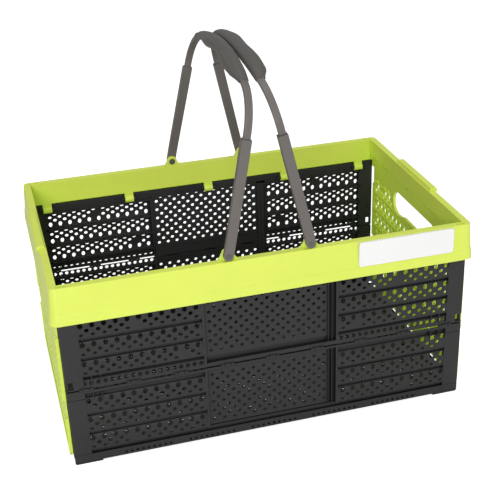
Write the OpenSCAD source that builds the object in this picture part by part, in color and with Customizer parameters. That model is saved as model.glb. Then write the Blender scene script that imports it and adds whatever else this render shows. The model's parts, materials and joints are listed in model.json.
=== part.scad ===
// Folding shopping crate with two swing handles.
// Millimetres, +Z up, origin at the middle of the standing face.
// X runs along the length, Y from the front wall to the back wall.
// The long walls fold inwards at mid height, the end flaps swing up inside the rim.

/* [Crate] */
// Overall length, at the foot of the rim skirt
crate_l = 480; // [420:5:560]
// Overall width, at the foot of the rim skirt
crate_w = 300; // [260:5:340]
// Height of the rim's top face above the ground
crate_h = 225; // [190:1:260]
// Outer corner radius of the rim
corner_r = 10; // [8:0.5:14]

/* [Rim] */
// Height of the rim skirt
skirt_h = 42.5; // [36:0.5:50]
// How far the skirt flares outwards from top to bottom
skirt_flare = 4; // [2:0.25:5]
// Wall thickness of the skirt
skirt_t = 2.2; // [1.8:0.1:2.6]
// Thickness of the top flange
flange_t = 2.5; // [2:0.1:3.5]
// Width of the top flange on all four sides
flange_w = 8.3; // [7.5:0.1:9]
// Thickness of the band inside the rim
band_t = 2; // [1.6:0.1:2.4]
// Height of the proud band at the foot of the skirt
foot_band_h = 10.5; // [8:0.5:14]
// Half length of the raised hand ledge on each end
ledge_half = 49; // [40:1:60]
// Height of the hand ledge above the rim's top face
ledge_h = 4; // [2:0.5:5]

/* [Long walls] */
// Thickness of a wall panel at its posts
wall_t = 5.5; // [5:0.1:6]
// Thickness of the sheet between the posts
sheet_t = 2; // [1.6:0.1:2.4]
// Width of the plain post at each end of a panel
post_w = 19.5; // [16:0.5:24]
// Half width of the framed field in the middle of a panel
field_half = 77; // [60:1:84]
// Pitch of the wavy ribs
wave_pitch = 23.6; // [20:0.2:27]
// Slot between lower and upper panel
fold_slot = 1.6; // [1.2:0.1:2.4]

/* [End flaps] */
// Thickness of the flap plate
flap_t = 2.2; // [1.8:0.1:2.6]
// How far the flap's ribs stand out of the plate
flap_rib = 1.3; // [0.8:0.1:1.4]
// Length of the hand hole
hand_l = 130; // [110:1:140]
// Height of the hand hole
hand_h = 27; // [24:1:30]

/* [Base] */
// Height of the base rail along the long sides
rail_h = 12; // [11:0.5:13]
// Height of the feet
foot_h = 2; // [1.5:0.5:3]
// Thickness of the raised floor
floor_t = 2.4; // [2:0.2:3]

/* [Handles] */
// Distance of each handle pivot from the middle of the crate
pivot_x = 46; // [38:1:60]
// Lean of each bow towards the middle when the grips meet
bow_lean = 12.2; // [8:0.1:15]
// Straight length of a leg above its pivot
leg_l = 127; // [110:1:140]
// Width of a leg
leg_w = 11; // [9:0.5:12]
// Width of the strap
strap_w = 8; // [7:0.5:9]
// Thickness of the strap
strap_t = 5; // [4:0.5:6]
// Bend radius of the strap above the leg
strap_r = 49; // [42:1:56]
// Thickness of a grip above and below its strap
grip_t = 13; // [11:0.5:15]
// Width of a grip
grip_w = 20; // [16:0.5:24]
// Radius of a handle pin
pin_r = 2.4; // [2:0.1:2.8]

/* [Label] */
// Length of the blank label on the front skirt
label_l = 113; // [80:1:120]
// Height of the blank label
label_h = 29.5; // [20:0.5:30]

/* [Hidden] */
$fn = 64;
tiny = 0.01;
run_fit = 0.08;       // radial clearance of a pin that turns in its bore
seat_fit = 0.05;      // radial clearance of a pin or tang that is pressed home
gap = 0.4;            // clearance between moving knuckles
side_gap = 1.7;       // clearance between a flap's edges and the long walls

// half sizes at the rim
half_l = crate_l / 2;
half_w = crate_w / 2;
rim_top_x = half_l - skirt_flare;
rim_top_y = half_w - skirt_flare;
band_x = rim_top_x - flange_w;     // inner face of the rim at the ends
band_y = rim_top_y - flange_w;     // inner face of the rim along the long sides
skirt_bottom = crate_h - skirt_h;
step_in = 0.6;         // the skirt steps in above its foot band
step_h = 1;
step_z = skirt_bottom + foot_band_h + step_h;
step_r = skirt_flare * foot_band_h / skirt_h + step_in;
face_angle = atan((skirt_flare - step_r) / (crate_h - step_z));

// the long walls: their inner face carries the lower and upper pivots
wall_in = band_y + 1.3;
wall_out = wall_in + wall_t;
wall_end = half_l - 8.5;
base_pivot_z = 6.5;
rim_pivot_z = skirt_bottom + 5;
mid_pivot_z = (base_pivot_z + rim_pivot_z) / 2;
station_pitch = 0.4545 * wall_end;
stations = [for (k = [-2:2]) k * station_pitch];
knuckle_stations = [for (k = [-4:4]) k * station_pitch / 2];
bar_r = 2.2;
clip_r = 4.2;
clip_half = 5.5;
cheek_w = 3.5;
knuckle_r = 2.8;
knuckle_half = 3.6;
knuckle_pin_r = 1.5;
pocket_r = knuckle_r + gap;
thin_t = 2.5;          // thickness of the panel's edge strips at the pivots
top_strip = 7;         // height of the strip above the rim pivot
latch_d = 8;           // depth of the latch notch in each post
latch_h = 9.5;         // height of the latch notch
latch_low = 1.5;       // height of the latch notch above the foot of its panel
clip_fit = 0.6;        // room around a clip
clip_room_h = 12;      // height of the opening that a clip reaches through
body_low = rail_h + 1; // the thick part of the lower panel starts above the rail
body_top = rim_pivot_z - 1;
long_band_low = rim_pivot_z + 9;
rib_w = 3;

// the end flaps hang outboard of the wall ends
flap_pivot_x = half_l - 6.4;
flap_pivot_z = skirt_bottom + 18.5;
flap_in = flap_pivot_x - 1.5;
flap_out = flap_in + flap_t;
flap_half = wall_in - side_gap;
flap_low = 8;
end_band_low = flap_pivot_z + 3.2;
flap_bar_r = 1.6;
flap_clip_r = 3.2;
flap_stations = [for (k = [-3, -1, 1, 3]) k * flap_half * 0.25];
notch_d = 4;           // depth of the notches in the flap's side edges
notch_under = 12.5;    // how far a notch reaches below the wall pivot that it clears
notch_over = 11.5;     // how far it reaches above that pivot
notch_foot = 4.5;      // height of the notch at the flap's foot
frame_w = 3;           // width of the flap's frame ribs
hand_rim = 2.5;        // width of the rolled edge round the hand hole
hand_rib_drop = 6;     // distance of the rib below the hand hole
hand_z = skirt_bottom - 0.5 - hand_h / 2;
hand_droop = 4;        // how far the ends of the hand hole reach below its middle

// the base
rail_t = 1.9;          // thickness of the base rail
tray_t = 1.2;          // thickness of the lowest sheet
floor_rib_t = 2;       // thickness of the ribs under the floor
foot_half = 15;        // half length of a foot
foot_w = 14;           // width of a foot

// the flange and its stiffening
web_t = 2;
web_low = 14;          // how far the webs reach below the rim's top face
web_places = [0.15, 0.36, 0.62, 0.82];
slot_half = 5;         // half length of the short slots in the flange
slot_x = band_x - 4;

// the handles
pivot_z = crate_h + 6.5;
lug_t = 3.2;
lug_half = 11;
lug_r = 6.5;
leg_in = band_y + lug_t + gap;
leg_foot_t = 6;
leg_inset = 11.4;      // how far a leg leans inwards from its foot to its top
leg_top_in = leg_in - leg_inset;
leg_top_t = 8.5;
foot_straight = 14;
strap_mid = leg_top_in + leg_top_t / 2;
bend = 74;             // angle at which the tight bend runs into the long arch
bend_y = strap_mid - strap_r;
arch_r = strap_r + bend_y / cos(bend);
arch_s = leg_l - bend_y * tan(bend);
grip_half_angle = 15.4;
tang_l = 16;
grip_gap = 0.5;        // gap between the two grips when they meet
grip_cover = 1.5;      // how far a grip reaches past the inner edge of its strap
pin_head_t = 1.2;
pin_head_lip = 1.4;

// the label
label_t = 0.3;
label_x = 157;
label_low = 0.3;

lime = [0.72, 0.84, 0.27];
charcoal = [0.21, 0.21, 0.22];
warm_grey = [0.40, 0.37, 0.35];

// ---- helpers -------------------------------------------------------------

module box(low, high) {
    translate(low) cube(high - low);
}

// a bar along X between two places
module bar_x(x0, x1, y, z, r) {
    translate([x0, y, z]) rotate([0, 90, 0]) cylinder(r = r, h = x1 - x0);
}

// a bar along Y between two places
module bar_y(y0, y1, x, z, r) {
    translate([x, y0, z]) rotate([-90, 0, 0]) cylinder(r = r, h = y1 - y0);
}

// rectangle with round corners, without offset()
module round_rect(hx, hy, r) {
    square([2 * (hx - r), 2 * hy], center = true);
    square([2 * hx, 2 * (hy - r)], center = true);
    for (sx = [-1, 1], sy = [-1, 1]) translate([sx * (hx - r), sy * (hy - r)]) circle(r = r);
}

module ring_2d(hx, hy, r, inner_x, inner_y) {
    difference() {
        round_rect(hx, hy, r);
        square([2 * inner_x, 2 * inner_y], center = true);
    }
}

// puts a front-side part on the back as well
module both_sides() {
    children();
    mirror([0, 1, 0]) children();
}

// ---- rim -----------------------------------------------------------------

// section of the skirt, measured outwards from the corner centre
module skirt_section() {
    polygon([
        [corner_r - skirt_t, skirt_bottom],
        [corner_r, skirt_bottom],
        [corner_r - step_r + step_in, skirt_bottom + foot_band_h],
        [corner_r - step_r, step_z],
        [corner_r - skirt_flare, crate_h],
        [corner_r - skirt_flare - skirt_t, crate_h]]);
}

module skirt_run(length) {
    rotate([90, 0, 90]) translate([0, 0, -length / 2]) linear_extrude(length) skirt_section();
}

module skirt() {
    cx = half_l - corner_r;
    cy = half_w - corner_r;
    for (a = [0, 180]) rotate(a) {
        translate([0, cy, 0]) skirt_run(2 * cx);
        translate([cx, 0, 0]) rotate(-90) skirt_run(2 * cy);
        translate([cx, cy, 0]) rotate_extrude(angle = 90) skirt_section();
        translate([-cx, cy, 0]) rotate([0, 0, 90]) rotate_extrude(angle = 90) skirt_section();
    }
}

// clip that hangs from the inner band and holds one bar of an upper panel
module wall_clip(x) {
    translate([x - clip_half, 0, 0]) difference() {
        union() {
            bar_x(0, 2 * clip_half, -wall_in, rim_pivot_z, clip_r);
            box([0, -band_y - band_t, rim_pivot_z], [2 * clip_half, -band_y, long_band_low + 1]);
        }
        bar_x(-1, 2 * clip_half + 1, -wall_in, rim_pivot_z, bar_r + run_fit);
    }
}

// clip on the end skirt that holds the flap's bar
module flap_clip(y) {
    translate([0, y - clip_half, 0]) difference() {
        union() {
            bar_y(0, 2 * clip_half, flap_pivot_x, flap_pivot_z, flap_clip_r);
            box([flap_pivot_x, 0, flap_pivot_z],
                [flap_pivot_x + flap_clip_r - 0.4, 2 * clip_half, flap_pivot_z + 9]);
        }
        bar_y(-1, 2 * clip_half + 1, flap_pivot_x, flap_pivot_z, flap_bar_r + run_fit);
    }
}

// lug that carries one handle leg, on the front side
module handle_lug(x) {
    translate([x, -band_y, 0]) difference() {
        rotate([90, 0, 0]) linear_extrude(lug_t) {
            translate([0, pivot_z]) circle(r = lug_r);
            polygon([[-lug_half, crate_h - tiny], [lug_half, crate_h - tiny],
                [lug_r, pivot_z], [-lug_r, pivot_z]]);
        }
        bar_y(-lug_t - 1, 1, 0, pivot_z, pin_r + run_fit);
    }
}

module hand_ledge() {
    rotate([90, 0, 0]) translate([0, 0, -ledge_half]) linear_extrude(2 * ledge_half)
        polygon([[band_x + 1.2, crate_h - tiny], [rim_top_x, crate_h - tiny],
            [half_l - 1.2, crate_h - 2], [half_l - 1.2, crate_h + ledge_h - 1.5],
            [half_l - 3.2, crate_h + ledge_h], [band_x + 2.2, crate_h + ledge_h]]);
    box([rim_top_x - 1.5, -ledge_half, crate_h - 12], [rim_top_x + 1, ledge_half, crate_h - 1]);
}

module rim_frame() {
    color(lime) difference() {
        union() {
            skirt();
            translate([0, 0, crate_h - flange_t]) linear_extrude(flange_t)
                ring_2d(rim_top_x, rim_top_y, corner_r - skirt_flare, band_x, band_y);
            // inner band: deep along the long sides, short at the ends
            both_sides() box([-band_x, -band_y - band_t, long_band_low],
                [band_x, -band_y, crate_h - tiny]);
            for (a = [0, 180]) rotate(a) {
                box([band_x, -band_y - band_t, end_band_low],
                    [band_x + band_t, band_y + band_t, crate_h - tiny]);
                hand_ledge();
                for (y = flap_stations) flap_clip(y);
            }
            both_sides() {
                for (x = stations) wall_clip(x);
                for (s = [-1, 1]) handle_lug(s * pivot_x);
            }
            // stiffening webs between band and skirt
            for (s = [-1, 1]) both_sides() for (x = web_places)
                box([s * x * half_l - web_t / 2, -rim_top_y + 1, crate_h - web_low],
                    [s * x * half_l + web_t / 2, -band_y - 1, crate_h - 1]);
        }
        // short slots through the flange near the corners
        for (sx = [-1, 1]) both_sides()
            box([sx * slot_x - slot_half, -rim_top_y + 2.6, crate_h - flange_t - 1],
                [sx * slot_x + slot_half, -band_y - band_t - 0.6, crate_h + 1]);
    }
}

// ---- base ----------------------------------------------------------------

module base_clip(x) {
    difference() {
        bar_x(x - clip_half, x + clip_half, -wall_in, base_pivot_z, clip_r);
        bar_x(x - clip_half - 1, x + clip_half + 1, -wall_in, base_pivot_z, bar_r + run_fit);
    }
}

module base_tray() {
    sheet_low = foot_h;
    sheet_top = sheet_low + tray_t;
    floor_top = base_pivot_z - 0.3;
    floor_half = wall_in - 5.5;
    color(charcoal) {
        box([-wall_end, -wall_out, sheet_low], [wall_end, wall_out, sheet_top]);
        box([-wall_end, -floor_half, floor_top - floor_t], [wall_end, floor_half, floor_top]);
        both_sides() {
            box([-wall_end, -wall_out, sheet_low], [wall_end, -wall_out + rail_t, rail_h]);
            box([-wall_end, -floor_half, sheet_low],
                [wall_end, -floor_half + floor_rib_t, floor_top]);
            for (x = stations) base_clip(x);
        }
        for (s = [-1, 1])
            box([s * (wall_end - floor_rib_t / 2) - floor_rib_t / 2, -floor_half, sheet_low],
                [s * (wall_end - floor_rib_t / 2) + floor_rib_t / 2, floor_half, floor_top]);
        for (k = [-3:3])
            box([-wall_end, k * floor_half / 4 - floor_rib_t / 2, sheet_low],
                [wall_end, k * floor_half / 4 + floor_rib_t / 2, floor_top]);
        for (sx = [-1, 1]) both_sides()
            box([sx * (wall_end - foot_half - 1) - foot_half, -wall_out, 0],
                [sx * (wall_end - foot_half - 1) + foot_half, -wall_out + foot_w,
                    sheet_low + tiny]);
    }
}

// ---- long walls, drawn on the front side ------------------------------------

// wavy sheet between two heights, seen along X
module wave_section(z0, z1, phase) {
    swing = (wall_t - sheet_t) / 2 - 0.2;
    steps = ceil((z1 - z0) / 2);
    outer = [for (k = [0:steps]) let (z = z0 + (z1 - z0) * k / steps)
        [-wall_in - wall_t / 2 - sheet_t / 2 + swing * cos(360 * (z - phase) / wave_pitch), z]];
    inner = [for (p = outer) [p[0] + sheet_t, p[1]]];
    polygon(concat(outer, [for (k = [steps:-1:0]) inner[k]]));
}

// posts, sheets and frames of one panel between two heights
module panel_body(z0, z1, phase) {
    for (s = [-1, 1]) {
        // post
        box([s * (wall_end - post_w / 2) - post_w / 2, -wall_out, z0],
            [s * (wall_end - post_w / 2) + post_w / 2, -wall_in, z1]);
        // wavy third
        rotate([90, 0, 90]) translate([0, 0, min(s * field_half, s * (wall_end - post_w)) - 0.5])
            linear_extrude(wall_end - post_w - field_half + 1) wave_section(z0, z1, phase);
        // rib beside the middle field
        box([s * field_half - rib_w / 2, -wall_out, z0], [s * field_half + rib_w / 2, -wall_in, z1]);
    }
    // middle field with its border
    box([-field_half, -wall_in - wall_t / 2 - sheet_t / 2, z0],
        [field_half, -wall_in - wall_t / 2 + sheet_t / 2, z1]);
    for (z = [z0, z1 - rib_w]) box([-wall_end, -wall_out, z], [wall_end, -wall_in, z + rib_w]);
}

// bar and cheeks of one pivot station at height z
module pivot_bar(x, z) {
    bar_x(x - clip_half - gap - cheek_w, x + clip_half + gap + cheek_w, -wall_in, z, bar_r);
}

// room for the clip that holds the bar
module clip_room(x, z, up) {
    bar_x(x - clip_half - gap, x + clip_half + gap, -wall_in, z, clip_r + clip_fit);
    box([x - clip_half - gap, -wall_out - 1, z - (up ? 0 : clip_room_h)],
        [x + clip_half + gap, -wall_in + 1, z + (up ? clip_room_h : 0)]);
}

module knuckle(x, half) {
    bar_x(x - half, x + half, -wall_out, mid_pivot_z, knuckle_r);
}

// room that the other panel's knuckle turns in
module knuckle_room(x0, x1) {
    bar_x(x0, x1, -wall_out, mid_pivot_z, pocket_r);
}

outer_knuckle = 2 * knuckle_half + gap;   // where an outer knuckle ends

module lower_panel() {
    top = mid_pivot_z - fold_slot / 2;
    color(charcoal) {
        difference() {
            union() {
                panel_body(body_low, top, body_low + 2.6);
                box([-wall_end, -wall_in - thin_t, base_pivot_z], [wall_end, -wall_in, body_low + 1]);
                for (x = stations) pivot_bar(x, base_pivot_z);
            }
            for (x = stations) clip_room(x, base_pivot_z, false);
            for (x = knuckle_stations, s = [-1, 1])
                knuckle_room(x + (s < 0 ? -outer_knuckle - gap : knuckle_half),
                    x + (s < 0 ? -knuckle_half : outer_knuckle + gap));
        }
        for (x = stations) pivot_bar(x, base_pivot_z);
        for (x = knuckle_stations) {
            knuckle(x, knuckle_half);
            bar_x(x - outer_knuckle + 0.2, x + outer_knuckle - 0.2, -wall_out, mid_pivot_z,
                knuckle_pin_r);
        }
    }
}

module upper_panel() {
    low = mid_pivot_z + fold_slot / 2;
    color(charcoal) {
        difference() {
            union() {
                panel_body(low, body_top, mid_pivot_z + 15.4);
                box([-wall_end, -wall_in - thin_t, body_top - 1],
                    [wall_end, -wall_in, rim_pivot_z + top_strip]);
                for (x = stations) pivot_bar(x, rim_pivot_z);
                for (x = knuckle_stations) knuckle(x, outer_knuckle);
            }
            for (x = stations) clip_room(x, rim_pivot_z, true);
            for (x = knuckle_stations) {
                knuckle_room(x - knuckle_half - gap, x + knuckle_half + gap);
                bar_x(x - outer_knuckle - 1, x + outer_knuckle + 1, -wall_out, mid_pivot_z,
                    knuckle_pin_r + run_fit);
            }
            // latch notch in the outer edge of each post
            for (s = [-1, 1])
                box([s * wall_end - latch_d, -wall_out - 1, low + latch_low],
                    [s * wall_end + latch_d, -wall_in + 1, low + latch_low + latch_h]);
        }
        for (x = stations) pivot_bar(x, rim_pivot_z);
    }
}

module front_lower_wall() { lower_panel(); }
module front_upper_wall() { upper_panel(); }
module back_lower_wall() { mirror([0, 1, 0]) lower_panel(); }
module back_upper_wall() { mirror([0, 1, 0]) upper_panel(); }

// ---- end flaps, drawn on the right end ------------------------------------

// places along the flap where the wall pivots would touch its edges
function notch_reach(x) = sqrt(pow(flap_pivot_x - x, 2) + pow(flap_pivot_z - rim_pivot_z, 2));

// outline of the hand hole: flat in the middle, deeper at both ends, grown by t
module hand_hole(t) {
    end_r = (hand_h + hand_droop) / 2;
    end_y = hand_l / 2 - end_r;
    for (s = [-1, 1]) translate([s * end_y, -hand_droop / 2]) circle(r = end_r + t);
    translate([-end_y, -hand_h / 2 - t]) square([2 * end_y, hand_h + 2 * t]);
}

module end_flap() {
    color(lime) {
        difference() {
            union() {
                box([flap_in, -flap_half, flap_low], [flap_out, flap_half, flap_pivot_z]);
                bar_y(-flap_half, flap_half, flap_pivot_x, flap_pivot_z, flap_bar_r);
                // frame ribs on the outside
                for (s = [-1, 1])
                    box([flap_out - tiny, s * (flap_half - frame_w / 2) - frame_w / 2, flap_low],
                        [flap_out + flap_rib, s * (flap_half - frame_w / 2) + frame_w / 2,
                            flap_pivot_z - 5]);
                for (z = [flap_low, hand_z - hand_h / 2 - hand_droop - hand_rib_drop,
                        flap_pivot_z - frame_w - 5])
                    box([flap_out - tiny, -flap_half, z],
                        [flap_out + flap_rib, flap_half, z + frame_w]);
                // rolled edge of the hand hole
                translate([flap_out - tiny, 0, hand_z]) rotate([90, 0, 90]) linear_extrude(flap_rib)
                    hand_hole(hand_rim);
            }
            for (y = flap_stations) {
                bar_y(y - clip_half - gap, y + clip_half + gap, flap_pivot_x, flap_pivot_z,
                    flap_clip_r + clip_fit);
                box([flap_in - 2, y - clip_half - gap, flap_pivot_z],
                    [flap_out + 3, y + clip_half + gap, flap_pivot_z + 5]);
            }
            translate([flap_in - 1, 0, hand_z]) rotate([90, 0, 90]) linear_extrude(8) hand_hole(0);
            // edge notches that let the flap pass the pivots of the long walls
            for (s = [-1, 1]) {
                for (x = [stations[4], stations[3]])
                    box([flap_in - 1, s * flap_half - notch_d,
                            flap_pivot_z - notch_reach(x) - notch_under],
                        [flap_in + 8, s * flap_half + notch_d,
                            flap_pivot_z - notch_reach(x) + notch_over]);
                box([flap_in - 1, s * flap_half - notch_d, flap_low - 1],
                    [flap_in + 8, s * flap_half + notch_d, flap_low + notch_foot]);
            }
        }
        for (y = flap_stations) bar_y(y - clip_half - gap - 2, y + clip_half + gap + 2,
            flap_pivot_x, flap_pivot_z, flap_bar_r);
    }
}

module right_end_flap() { end_flap(); }
module left_end_flap() { mirror([1, 0, 0]) end_flap(); }

// ---- handles ---------------------------------------------------------------

// stands a bow drawn in its own plane (x across, y along the crate, z up) at its lean
module lean_left() {
    translate([-pivot_x, 0, pivot_z]) rotate([0, bow_lean, 0]) children();
}

// a flat shape in the bow's plane, given a width across the plane
module bow_extrude(width, shift = 0) {
    rotate([90, 0, 90]) translate([0, 0, shift - width / 2]) linear_extrude(width) children();
}

// one edge of the strap, at a distance off outside its centreline, from back to front
bend_steps = 18;
arch_steps = 24;
function strap_edge(off) = concat(
    [[strap_mid + off, leg_l - tang_l]],
    [for (k = [0:bend_steps]) bend_point(off, bend * k / bend_steps, 1)],
    [for (k = [1:arch_steps - 1]) let (a = bend + (180 - 2 * bend) * k / arch_steps)
        [(arch_r + off) * cos(a), arch_s + (arch_r + off) * sin(a)]],
    [for (k = [bend_steps:-1:0]) bend_point(off, bend * k / bend_steps, -1)],
    [[-strap_mid - off, leg_l - tang_l]]);
function bend_point(off, a, s) =
    [s * (bend_y + (strap_r + off) * cos(a)), leg_l + (strap_r + off) * sin(a)];

module strap_outline(t) {
    outer = strap_edge(t);
    inner = strap_edge(-t);
    polygon(concat(outer, [for (k = [len(inner) - 1:-1:0]) inner[k]]));
}

// part of the long arch of the bow, grown by t on both sides
module arch_outline(t, half_angle) {
    reach = 2 * arch_r;
    intersection() {
        translate([0, arch_s]) difference() {
            circle(r = arch_r + t, $fn = 256);
            circle(r = arch_r - t, $fn = 256);
        }
        translate([0, arch_s]) polygon([[0, 0], [reach * sin(half_angle), reach * cos(half_angle)],
            [-reach * sin(half_angle), reach * cos(half_angle)]]);
    }
}

module bow_strap() {
    bow_extrude(strap_w) strap_outline(strap_t / 2);
}

// side = -1 for the front leg, 1 for the back leg
module bow_leg(side) {
    difference() {
        union() {
            bar_y(min(side * leg_in, side * (leg_in + leg_foot_t)),
                max(side * leg_in, side * (leg_in + leg_foot_t)), 0, 0, leg_w / 2);
            bow_extrude(leg_w) polygon([
                [side * (leg_in + leg_foot_t), 0],
                [side * (leg_in + leg_foot_t), foot_straight],
                [side * (leg_top_in + leg_top_t), leg_l],
                [side * leg_top_in, leg_l],
                [side * leg_in, foot_straight],
                [side * leg_in, 0]]);
        }
        bar_y(side * (band_y + leg_foot_t) - 30, side * (band_y + leg_foot_t) + 30, 0, 0,
            pin_r + seat_fit);
        // socket for the strap's end
        bow_extrude(strap_w + 2 * seat_fit) {
            translate([side * strap_mid - strap_t / 2 - seat_fit, leg_l - tang_l - 0.5])
                square([strap_t + 2 * seat_fit, tang_l + 2]);
        }
    }
}

module bow_grip() {
    shift = strap_w / 2 + grip_cover - grip_w / 2;
    difference() {
        bow_extrude(grip_w, shift) arch_outline(grip_t / 2, grip_half_angle);
        bow_extrude(strap_w + 2 * seat_fit) arch_outline(strap_t / 2 + seat_fit, grip_half_angle + 5);
    }
}

module bow_pin(side) {
    y_in = side * (band_y - 0.2);
    y_out = side * (leg_in + leg_foot_t);
    bar_y(min(y_in, y_out), max(y_in, y_out), 0, 0, pin_r);
    bar_y(min(y_in, y_in - side * pin_head_t), max(y_in, y_in - side * pin_head_t), 0, 0,
        pin_r + pin_head_lip);
}

module left_bow_part() { color(warm_grey) lean_left() children(); }
module right_bow_part() { color(warm_grey) mirror([1, 0, 0]) lean_left() children(); }

// the grips are cut where they meet in the middle
module left_grip() {
    color(warm_grey) difference() {
        lean_left() bow_grip();
        box([-grip_gap / 2, -half_w, pivot_z], [half_l, half_w, pivot_z + 2 * crate_h]);
    }
}

module right_grip() { mirror([1, 0, 0]) left_grip(); }
module left_handle_front_leg() { left_bow_part() bow_leg(-1); }
module left_handle_back_leg() { left_bow_part() bow_leg(1); }
module left_handle_strap() { left_bow_part() bow_strap(); }
module right_handle_front_leg() { right_bow_part() bow_leg(-1); }
module right_handle_back_leg() { right_bow_part() bow_leg(1); }
module right_handle_strap() { right_bow_part() bow_strap(); }
module left_front_pin() { left_bow_part() bow_pin(-1); }
module left_back_pin() { left_bow_part() bow_pin(1); }
module right_front_pin() { right_bow_part() bow_pin(-1); }
module right_back_pin() { right_bow_part() bow_pin(1); }

// ---- label -----------------------------------------------------------------

module blank_label() {
    color("white") translate([label_x, -half_w + step_r, step_z]) rotate([-face_angle, 0, 0])
        translate([-label_l / 2, -label_t, label_low]) cube([label_l, label_t, label_h]);
}

rim_frame();
base_tray();
front_lower_wall();
front_upper_wall();
back_lower_wall();
back_upper_wall();
left_end_flap();
right_end_flap();
left_handle_front_leg();
left_handle_back_leg();
left_handle_strap();
left_grip();
right_handle_front_leg();
right_handle_back_leg();
right_handle_strap();
right_grip();
left_front_pin();
left_back_pin();
right_front_pin();
right_back_pin();
blank_label();
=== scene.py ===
import json
import math
import bpy
import bmesh
from mathutils import Matrix, Vector
from mathutils.geometry import delaunay_2d_cdt


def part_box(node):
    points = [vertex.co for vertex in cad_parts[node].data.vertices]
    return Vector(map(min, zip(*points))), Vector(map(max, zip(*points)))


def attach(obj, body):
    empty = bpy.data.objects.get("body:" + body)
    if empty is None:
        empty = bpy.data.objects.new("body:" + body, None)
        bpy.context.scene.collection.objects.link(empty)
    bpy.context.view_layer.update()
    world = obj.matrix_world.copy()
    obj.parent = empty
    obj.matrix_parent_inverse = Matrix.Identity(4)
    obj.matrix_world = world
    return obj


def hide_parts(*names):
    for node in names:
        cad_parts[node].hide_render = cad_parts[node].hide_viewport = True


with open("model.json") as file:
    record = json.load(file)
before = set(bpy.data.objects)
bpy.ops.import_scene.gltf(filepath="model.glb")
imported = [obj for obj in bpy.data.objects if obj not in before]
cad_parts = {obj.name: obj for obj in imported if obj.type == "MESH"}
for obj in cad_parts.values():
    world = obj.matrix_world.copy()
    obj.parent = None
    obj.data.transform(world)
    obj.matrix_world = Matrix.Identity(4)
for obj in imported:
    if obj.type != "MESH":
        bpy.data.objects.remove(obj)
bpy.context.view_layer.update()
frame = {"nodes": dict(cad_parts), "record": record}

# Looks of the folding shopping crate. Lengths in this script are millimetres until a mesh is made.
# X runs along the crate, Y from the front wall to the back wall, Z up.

MM = 0.001


def edges_of(node):
    """Lowest and highest corner of a CAD node in millimetres."""
    low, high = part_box(node)
    return [v / MM for v in low], [v / MM for v in high]


# ---- places taken from the frame -------------------------------------------------

JOINT = {j["name"]: [v / MM for v in j["pos_m"]] for j in frame["record"]["behaviour"]["joints"]}
FLAP_LOW, FLAP_HIGH = edges_of("right_end_flap")

WALL_END = edges_of("front_lower_wall")[1][0]
WALL_IN = -JOINT["fold"][1]
WALL_OUT = -JOINT["front_middle_hinge"][1]
RAIL_TOP = edges_of("base_tray")[1][2]
BASE_PIVOT = JOINT["fold"][2]
MID_PIVOT = JOINT["front_middle_hinge"][2]
RIM_PIVOT = JOINT["front_rim_hinge"][2]
FLAP_X = JOINT["right_flap_hinge"][0]
FLAP_Z = JOINT["right_flap_hinge"][2]
BOW_X = JOINT["right_handle_pivot"][0]
BOW_Z = JOINT["right_handle_pivot"][2]

# clips of the long walls and knuckles of the middle hinges, spaced by a share of the wall's half
STATION_SHARE, KNUCKLE_SHARE = 0.4545, 0.2272
STATIONS = [k * WALL_END * STATION_SHARE for k in range(-2, 3)]
KNUCKLES = [k * WALL_END * KNUCKLE_SHARE for k in range(-4, 5)]
CLIP_HALF = 5.9                  # half the width of a clip


# ---- materials ---------------------------------------------------------------------

PAINTED_SHADE_OPENNESS = (0.42, 0.85)     # openness at which the painted shade in a hollow is full, and gone
GLOW_SHADE = (0.72, 0.45)      # openness at which the painted glow starts, and is full
GLOW_REACH = 0.3
GLOW_LEVEL = 0.3
GLOSS_DRIFT = 0.07


def noise(nodes, links, place, scale, detail):
    """Noise that sticks to the piece."""
    node = nodes.new("ShaderNodeTexNoise")
    node.inputs["Scale"].default_value = scale
    node.inputs["Detail"].default_value = detail
    links.new(place.outputs["Object"], node.inputs["Vector"])
    return node


def remap(nodes, links, value, span, low, high):
    """Maps a value from its span to low and high."""
    node = nodes.new("ShaderNodeMapRange")
    node.inputs["From Min"].default_value = span[0]
    node.inputs["From Max"].default_value = span[1]
    node.inputs["To Min"].default_value = low
    node.inputs["To Max"].default_value = high
    links.new(value, node.inputs["Value"])
    return node.outputs["Result"]


def blend(nodes, links, factor, first, second):
    """Mixes from a colour, or a socket that gives one, to a second colour."""
    node = nodes.new("ShaderNodeMix")
    node.data_type = "RGBA"
    node.inputs["B"].default_value = (*second, 1)
    if isinstance(first, bpy.types.NodeSocket):
        links.new(first, node.inputs["A"])
    else:
        node.inputs["A"].default_value = (*first, 1)
    links.new(factor, node.inputs["Factor"])
    return node.outputs["Result"]


def openness(nodes, distance):
    """How open a place is to its surroundings within a distance in metres."""
    node = nodes.new("ShaderNodeAmbientOcclusion")
    node.samples = 8
    node.inputs["Distance"].default_value = distance
    return node.outputs["AO"]


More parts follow.
